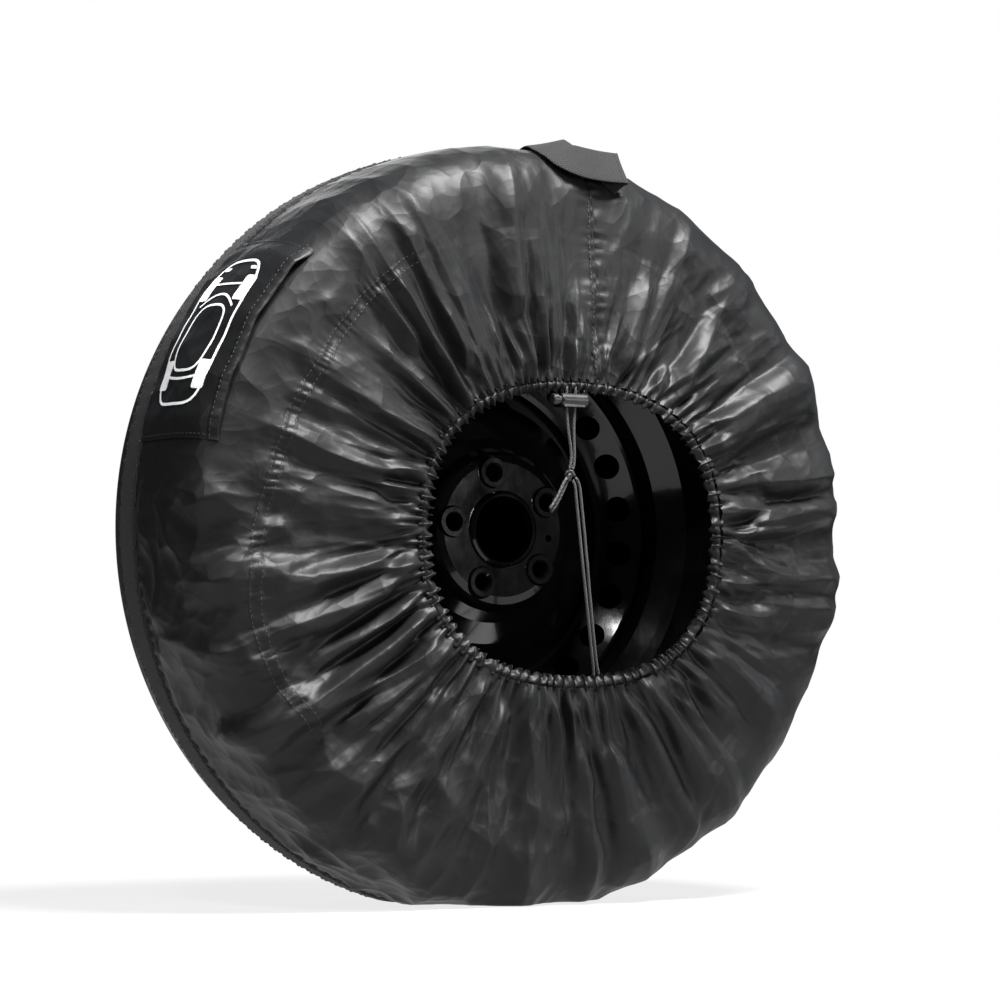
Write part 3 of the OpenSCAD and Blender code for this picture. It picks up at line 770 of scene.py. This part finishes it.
def stitches(name, centres, directions, normals, length, thick):
    """One mesh of sewn stitches: small rounded bars at points in millimetres from the axle."""
    ring = np.array([[-0.5, 0.0], [-0.36, 0.85], [0.0, 1.0], [0.36, 0.85], [0.5, 0.0]])
    sides, flatness = 6, 1.3
    side = unit(np.cross(normals, directions))
    verts, faces = [], []
    for c, d, n, w in zip(centres, directions, normals, side):
        first = len(verts)
        for t, k in ring:
            for q in range(sides):
                a = 2 * math.pi * q / sides
                verts.append(c + d * t * length + (w * math.cos(a) * flatness + n * math.sin(a)) * k * thick)
        for i in range(len(ring) - 1):
            for q in range(sides):
                p = first + i * sides + q
                o = first + i * sides + (q + 1) % sides
                faces.append((p, o, o + sides, p + sides))
    ob = mesh_object(name, world(np.array(verts)), faces, np.zeros((len(verts), 2)))
    finish_piece(ob, THREAD)


def along(line, pitch, wrap=True):
    """Indices of points about pitch apart along a line of points."""
    gap = np.linalg.norm(np.diff(line, axis=0, append=line[:1] if wrap else line[-1:]), axis=1)
    s = np.concatenate([[0], np.cumsum(gap)])[:len(line)]
    want = np.arange(0, s[-1], pitch)
    return np.searchsorted(s, want).clip(0, len(line) - 1)


def ring_direction(line):
    """The direction along a closed line at each of its points."""
    return unit(np.roll(line, -1, 0) - np.roll(line, 1, 0))


def seam_shown():
    """How much of the front seam shows at each angle: the folds swallow it except at the left."""
    deg = np.degrees(THETA)
    return 0.15 + 0.85 * smoothstep(deg, 112, 132) * (1 - smoothstep(deg, 205, 228))


def add_front_seam(shaped, seam):
    """A folded, lapped edge over the seam with two rows of stitches."""
    normal = outward_normals(shaped)
    rows = np.array([seam - 3, seam - 2, seam - 1, seam, seam + 1, seam + 2, seam + 3])
    lift = np.array([0.05, 0.35, 0.45, 0.5, 0.45, 0.35, 0.05]) * seam_shown()[:, None] + 0.06
    pucker = (0.15 * np.sin(PUCKERS * THETA + 1.2) * seam_shown())[:, None]
    strip = shaped[:, rows] + normal[:, rows] * (lift + pucker * (lift > 0.3))[..., None]
    ob = grid_object("front_seam_lap", world(strip), metre_uv(strip), True)
    finish_piece(ob, NYLON, "front_seam")
    for k, row in (("inner", 1), ("outer", 5)):
        line = strip[:, row]
        at = along(line, 4.6)
        at = at[seam_shown()[at] > 0.5]
        out = normal[at, rows[row]]
        stitches(f"front_seam_stitches_{k}", line[at] + out * 0.12, ring_direction(line)[at], out, 3.2, 0.3)


def add_band():
    """Webbing sewn round the rear of the tread, over the edges of the tread and back panels."""
    rows = np.linspace(0, 1, 13)
    v = BAND_V - 1.0 + (BAND_W + 1.0) * rows
    wavy = 0.9 * np.sin(9 * THETA + 1) + 0.6 * np.sin(23 * THETA) + 0.45 * np.sin(61 * THETA + 2)
    edge = np.minimum(rows, 1 - rows) * BAND_W
    lift = 1.8 - 2.1 * np.exp(-edge / 1.3)
    r = surface_r(v)[None] + lift[None] + 0.6 * np.sin(150 * THETA)[:, None] * np.exp(-edge / 5.0)[None]
    vv = v[None] + wavy[:, None] * 0.5 * (1 - rows)[None]
    band = polar(THETA, np.stack(np.broadcast_arrays(r, vv), -1))
    band = flat_foot(band, -AXLE_Z + 0.35)
    ob = grid_object("rear_band_webbing", world(band), metre_uv(band), True)
    finish_piece(ob, WEBBING, "rear_band")
    normal = outward_normals(band)
    for k, row in (("front", 1), ("rear", 11)):
        line = band[:, row]
        at = along(line, 5.2)
        at = at[line[at, 2] > -AXLE_Z + 4]
        out = normal[at, row]
        stitches(f"rear_band_stitches_{k}", line[at] + out * 0.3, ring_direction(line)[at], out, 3.6, 0.36)


def add_back():
    """The back panel: a shoulder and a disc of cloth with a seam between them."""
    rng = np.random.default_rng(17)
    end = math.acos(((BAND_V + BAND_W) / HALF_W) ** (SHAPE_N / 2))
    angle = np.linspace(end, 0.0, 60)
    shoulder = np.stack([WALL_R + CROWN * np.sin(angle) ** (2 / SHAPE_N),
                         HALF_W * np.cos(angle) ** (2 / SHAPE_N)], -1)
    disc_r = np.linspace(WALL_R, 2.0, 60)[1:]
    disc = np.stack([disc_r, np.full_like(disc_r, HALF_W)], -1)
    profile = np.concatenate([shoulder, disc])
    base = polar(THETA, np.broadcast_to(profile[None], (COLUMNS, len(profile), 2)))
    r = profile[:, 0][None]
    folds = sum(rng.normal(0, 1.0) / k ** 0.5 * np.sin(k * THETA[:, None] + rng.uniform(0, PHASE_END)
                                                       + r / rng.uniform(30, 90)) for k in range(5, 60, 3))
    near_seam = np.exp(-np.abs(r - 262) / 38.0)
    slow = sum(rng.normal(0, 0.7) * np.sin(k * THETA[:, None] + rng.uniform(0, PHASE_END)) * (r / 250) ** k
               for k in range(2, 6))
    pucker = 0.6 * np.sin(PUCKERS * THETA)[:, None] * np.exp(-np.abs(r - 256) / 5.0)
    height = folds * (0.35 + 1.5 * near_seam) + slow * np.clip(1 - r / 300, 0, 1) * 2 + pucker
    height -= 1.3 * np.exp(-((r - 256) / 2.5) ** 2)
    height *= smoothstep(r, 0, 60) * (1 - smoothstep(r, 300, 322))
    height = np.where(height < 0, -2.2 * np.tanh(-height / 2.2), height)
    normal = outward_normals(base)
    shaped = flat_foot(base + height[..., None] * normal, CLOTH_FLOOR)
    ob = grid_object("back_panel_cloth", world(shaped), metre_uv(shaped), True)
    finish_piece(ob, NYLON, "back_panel")
    row = int(np.argmin(np.abs(profile[:, 0] - 259)))
    line = shaped[:, row]
    at = along(line, 4.6)
    out = normal[at, row]
    stitches("back_seam_stitches", line[at] + out * 0.3, ring_direction(line)[at], out, 3.2, 0.34)


# ---- Pocket and its printed mark ----
POCKET_TOP, POCKET_LOW = 134.5, 168.5
LIP_V = -88.0
MARK_V = -35.0
PRINT_LIFT = 0.5


def pocket_point(deg, v):
    """A point of the pocket's cloth at an angle and a place along the axle."""
    deg, v = np.broadcast_arrays(np.asarray(deg, float), np.asarray(v, float))
    from_side = np.minimum(deg - POCKET_TOP, POCKET_LOW - deg) * 5.7
    inside = smoothstep(from_side, 0.0, 22.0)
    near_lip = np.exp(-np.maximum(v - LIP_V, 0) / 13.0)
    lift = 1.2 + 1.9 * inside + 3.2 * near_lip * inside
    lift = lift + inside * (0.8 * np.sin(v / 17.0 + deg * 0.22) + 0.45 * np.sin(deg * 0.62 + v / 31.0)
                            + 0.2 * np.sin(deg * 1.3 - v / 9.0))
    lift = lift + near_lip * inside * 0.5 * np.sin(deg * 0.6)
    r = surface_r(v) + lift
    # At the shoulder the cloth also stands off along the axle
    vv = v - 2.6 * near_lip * inside
    a = np.radians(deg)
    return np.stack([r * np.cos(a), vv, r * np.sin(a)], -1)


def add_pocket():
    deg = np.linspace(POCKET_TOP, POCKET_LOW, 120)
    v = np.linspace(BAND_V, LIP_V, 100)
    sheet = pocket_point(deg[:, None], v[None])
    uv = np.stack(np.broadcast_arrays(np.radians(deg)[:, None] * (COVER_R / 1000), v[None] * 0.001), -1)
    ob = grid_object("marker_pocket_cloth", world(sheet), uv)
    finish_piece(ob, NYLON, "marker_pocket")
    # A folded hem along the loose lip: a flat tube
    a = np.linspace(0, 2 * math.pi, 17)
    line = pocket_point(deg, np.full_like(deg, LIP_V + 4.0))
    lip_out = unit(pocket_point(deg, np.full_like(deg, LIP_V)) - line)
    face = unit(np.cross(np.gradient(line, axis=0), lip_out))
    face = np.where((face * line).sum(-1, keepdims=True) < 0, -face, face)
    wobble = (0.22 * np.sin(deg * 3.1) + 0.15 * np.sin(deg * 7.7))[:, None, None]
    hem = line[:, None] + lip_out[:, None] * (5.2 * np.cos(a))[None, :, None] \
        + face[:, None] * ((1.15 + wobble) * np.sin(a)[None, :, None])
    ob = grid_object("pocket_lip_hem", world(hem))
    finish_piece(ob, NYLON, "pocket_hem")
    at = along(line, 4.4, False)
    step = unit(np.gradient(line, axis=0))
    centres = line[at] + lip_out[at] * -2.4 + face[at] * 1.25
    stitches("pocket_lip_stitches", centres, step[at], face[at], 3.0, 0.32)
    for k, d in (("upper", POCKET_TOP + 0.7), ("lower", POCKET_LOW - 0.7)):
        vs = np.linspace(BAND_V - 3, LIP_V + 2, 24)
        line = pocket_point(np.full_like(vs, d), vs)
        out = unit(line * np.array([1.0, 0.0, 1.0]))
        stitches(f"pocket_{k}_stitches", line + out * 0.3, unit(np.gradient(line, axis=0)), out, 3.0, 0.32)


def add_mark():
    """A plain car seen from above, nose up: a rounded outline with four wheel blocks, a cabin, two screens
    and two lamps. Its parts are placed in millimetres from the mark's middle."""
    middle = (POCKET_TOP + POCKET_LOW) / 2
    verts, faces, uvs = [], [], []

    def add_grid(xy):
        deg = middle - np.degrees(xy[..., 1] / COVER_R)
        p = pocket_point(deg, MARK_V + xy[..., 0])
        out = unit(p * np.array([1.0, 0.0, 1.0]))
        first = len(verts)
        verts.extend((p + PRINT_LIFT * out).reshape(-1, 3))
        uvs.extend(xy.reshape(-1, 2) * 0.001)
        faces.extend((grid_faces(*xy.shape[:2]) + first).tolist())

    def block(x, y, w, h, lean=0.0):
        u, k = np.meshgrid(np.linspace(-1, 1, 13), np.linspace(-1, 1, 17), indexing="ij")
        # Rounded corners by squeezing a square grid
        uu = u * np.sqrt(1 - 0.16 * k ** 8)
        kk = k * np.sqrt(1 - 0.16 * u ** 8)
        add_grid(np.stack([x + uu * w / 2 + lean * kk * h / 2, y + kk * h / 2], -1))

    def stroke(points, width, closed=True):
        p = np.asarray(points, float)
        if closed:
            p = np.vstack([p, p[:1]])
        gap = run_length(p)
        want = np.linspace(0, gap[-1], max(8, int(gap[-1] / 1.6)))
        p = np.stack([np.interp(want, gap, p[:, 0]), np.interp(want, gap, p[:, 1])], -1)
        d = np.gradient(p, axis=0)
        if closed:
            d[0] = d[-1] = p[1] - p[-2]
        d = unit(d)
        n = np.stack([-d[:, 1], d[:, 0]], -1)
        add_grid(p[:, None] + n[:, None] * np.linspace(-width / 2, width / 2, 4)[None, :, None])

    def rounded(w, h, cx, cy, power):
        t = np.linspace(0, 2 * math.pi, 400, endpoint=False)
        return np.stack([cx + w / 2 * signed_pow(np.cos(t), 2 / power),
                         cy + h / 2 * signed_pow(np.sin(t), 2 / power)], -1)

    for x in (-26.5, 26.5):
        block(x, -43, 13.5, 26)
        block(x, 40, 13.5, 26)
    t = np.linspace(-1, 1, 40)
    stroke(rounded(66, 138, 0, 0, 4.6), 2.5)
    stroke(rounded(44, 62, 0, -9, 3.4), 2.3)
    stroke(np.stack([25 * t, 33 - 12 * t ** 2], -1), 2.2, False)
    stroke(np.stack([20 * t, 44 + 0 * t], -1), 2.0, False)
    stroke(np.stack([20 * t, -47 + 2 * t ** 2], -1), 2.2, False)
    for x in (-1, 1):
        block(x * 21, 61, 8, 3.4, x * -0.7)
    ob = mesh_object("position_mark_print", world(np.array(verts)), faces, np.array(uvs))
    finish_piece(ob, PRINT, "position_mark")


# ---- Handle ----
TAB = [[[60, -92, 297], [0.3, -0.45, -0.84]], [[66, -92.6, 302], [0.24, -0.46, -0.86]],
       [[71, -93.6, 305.5], [0.2, -0.46, -0.87]], [[75, -95.2, 308], [0.17, -0.44, -0.88]],
       [[76.4, -97.4, 309], [0.15, -0.42, -0.9]], [[74.5, -99, 309.2], [0.13, -0.41, -0.9]],
       [[70, -99.3, 309], [0.12, -0.4, -0.9]], [[64, -99.2, 309], [0.1, -0.39, -0.915]]]
HANDLE = [[[71, -100.6, 308.9], [0.13, -0.4, -0.9]], [[59, -101.2, 308.9], [0.08, -0.38, -0.92]],
          [[50, -100.6, 309.5], [0.05, -0.38, -0.92]],
          [[40, -98.5, 311], [0, -0.38, -0.92]], [[30, -95, 314], [-0.08, -0.45, -0.89]],
          [[23.5, -90, 318], [-0.25, -0.55, -0.8]], [[20, -82, 323.5], [-0.5, -0.6, -0.62]],
          [[20, -71, 328.5], [-0.8, -0.4, -0.45]], [[24, -59, 331.5], [-0.95, -0.05, -0.25]],
          [[30.5, -42, 333], [-0.97, 0.2, -0.08]], [[37.5, -24, 333.4], [-0.93, 0.36, 0]],
          [[43.5, -6, 331.6], [-0.9, 0.43, 0.06]], [[48, 4, 329.6], [-0.88, 0.46, 0.12]],
          [[51.5, 13, 327.9], [-0.9, 0.4, 0.145]], [[53, 22, 327.3], [-0.95, 0.2, 0.155]],
          [[53.5, 33, 326.8], [-0.98, 0.1, 0.16]]]


def ribbon(name, stations, width, thick, count, part=(0.0, 1.0)):
    """Webbing through stations [middle, direction of its width], with rounded selvedges."""
    flat = np.array([[*c, *unit(np.array(w, float))] for c, w in stations])
    line = spline(flat, count)
    first, last = int(part[0] * (count - 1)), int(part[1] * (count - 1))
    centre, w = line[:, :3], unit(line[:, 3:])
    d = unit(np.gradient(centre, axis=0))
    w = unit(w - (w * d).sum(-1, keepdims=True) * d)
    n = np.cross(d, w)
    sides = 32
    a = np.linspace(0, 2 * math.pi, sides + 1)
    across = width / 2 * signed_pow(np.cos(a), 0.35)
    up = thick / 2 * signed_pow(np.sin(a), 0.6)
    ring = centre[:, None] + w[:, None] * across[None, :, None] + n[:, None] * up[None, :, None]
    s = run_length(centre)
    uv = np.stack(np.broadcast_arrays(across[None] * 0.001, s[:, None] * 0.001), -1)
    ring, uv = ring[first:last + 1], uv[first:last + 1]
    count = len(ring)
    faces = grid_faces(count, sides + 1).tolist()
    verts = world(ring).reshape(-1, 3)
    faces.append(list(range(sides))[::-1])
    faces.append([(count - 1) * (sides + 1) + q for q in range(sides)])
    return mesh_object(name, verts, faces, uv.reshape(-1, 2))


def add_handle():
    tab = ribbon("handle_front_tab_webbing", TAB, WEBBING_W, 1.8, 90)
    finish_piece(tab, WEBBING, "handle_tab_front")
    pivot_front = world([59.0, -101.0, 308.6])
    pivot_rear = world([51.5, 12.0, 332.0])
    front = ribbon("carry_handle_front_half", HANDLE, WEBBING_W, 2.0, 240, (0.0, 0.5))
    rear = ribbon("carry_handle_rear_half", HANDLE, WEBBING_W, 2.0, 240, (0.5, 1.0))
    for ob, end, start in ((front, world([38.0, -98.5, 311.0]), pivot_front),
                           (rear, world([40.5, -15.0, 333.2]), pivot_rear)):
        paint(ob, WEBBING)
        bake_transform(ob)
    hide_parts("carry_handle")
    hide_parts("handle_tab_rear")


def add_top_seam(shaped):
    """A short radial seam above the mouth, where the strap's end is sewn down inside."""
    normal = outward_normals(shaped)
    points, outs, count = [], [], 120
    for x, z in [(45.0 - 0.02 * (292 - q), q) for q in np.linspace(126, 292, count)]:
        t, r = math.atan2(z, x), math.hypot(x, z)
        i = int(round(t / (2 * math.pi) * COLUMNS)) % COLUMNS
        radius = np.hypot(shaped[i, :, 0], shaped[i, :, 2])
        j = int(np.argmin(np.abs(radius[:110] - r)))
        points.append(shaped[i, j])
        outs.append(normal[i, j])
    line = spline(np.array(points)[::4], count)
    out = unit(np.array([np.mean(outs[max(0, k - 4):k + 5], 0) for k in range(count)]))
    d = unit(np.gradient(line, axis=0))
    side = unit(np.cross(out, d))
    w = np.array([-3.6, -2.4, -0.6, 0.0, 0.6, 2.4, 3.6])
    lift = np.array([-0.4, 0.7, 0.8, 0.1, 0.8, 0.7, -0.4])
    zig = (0.9 * np.sin(np.arange(count) * 0.9))[:, None]
    strip = line[:, None] + side[:, None] * (w[None] + 0.25 * zig)[..., None] \
        + out[:, None] * (lift[None] + 0.25 * zig)[..., None]
    ob = grid_object("top_seam_lap", world(strip))
    finish_piece(ob, NYLON, "top_seam")
    at = along(line, 4.4, False)
    stitches("top_seam_stitches", line[at] + side[at] * 2.0 + out[at], d[at], out[at], 3.0, 0.32)


def add_stage():
    radius, sides = 1.15, 96
    rim = [(radius * math.cos(k * 2 * math.pi / sides), radius * math.sin(k * 2 * math.pi / sides), 0)
           for k in range(sides)]
    floor = mesh_object("floor", rim, [tuple(range(sides))], smooth=False)
    floor.location.z = -0.0002    # just under the cloth's flat foot
    paint(floor, floor_material())
    sky = bpy.data.worlds.new("studio")
    sky.use_nodes = True
    tree = sky.node_tree
    both = tree.nodes.new("ShaderNodeMixShader")
    tree.links.new(tree.nodes.new("ShaderNodeLightPath").outputs["Is Camera Ray"], both.inputs[0])
    # Dim to every ray but the camera's, and white to the camera
    for slot, background, strength in ((1, tree.nodes["Background"], 0.03),
                                       (2, tree.nodes.new("ShaderNodeBackground"), 1.0)):
        background.inputs[0].default_value = (1, 1, 1, 1)
        background.inputs[1].default_value = strength
        tree.links.new(background.outputs[0], both.inputs[slot])
    tree.links.new(both.outputs[0], tree.nodes["World Output"].inputs["Surface"])
    scene.world = sky


def add_lights():
    middle, hub = (0, 0, 0.35), (0.02, 0.05, 0.32)
    for name, place, aim, width, height, watts in (
        ("top_light", (0.25, -0.85, 2.1), middle, 0.9, 0.5, 172),
        ("high_left_light", (-1.25, -1.25, 1.95), middle, 0.35, 0.25, 28),
        ("left_light", (-2.5, -0.6, 1.2), middle, 0.35, 1.0, 8),
        ("right_light", (2.5, -0.9, 1.2), middle, 0.4, 0.9, 14),
        ("wheel_light", (1.0, -2.5, 0.62), hub, 0.3, 0.25, 25),
        ("back_light", (0.9, 2.2, 1.6), middle, 1.2, 1.0, 16),
    ):
        data = bpy.data.lights.new(name, "AREA")
        data.shape = "RECTANGLE"
        data.energy = watts
        data.size, data.size_y = width, height
        ob = bpy.data.objects.new(name, data)
        ob.location = place
        ob.rotation_euler = (Vector(aim) - Vector(place)).to_track_quat("-Z", "Y").to_euler()
        scene.collection.objects.link(ob)


add_camera()
add_cords()
cloth, seam_ring = add_cover()
add_hem()
add_front_seam(cloth, seam_ring)
add_band()
add_back()
add_pocket()
add_mark()
add_handle()
add_lock_spring()
add_top_seam(cloth)
for name, mat in (("tyre", RUBBER), ("rim_barrel", STEEL), ("wheel_disc", STEEL), ("valve_stem", RUBBER),
                  ("valve_cap", PLASTIC), ("cord_lock_body", PLASTIC), ("cord_lock_button", PLASTIC)):
    paint(nodes[name], mat)
add_stage()
add_lights()
scene.view_settings.view_transform = "Standard"
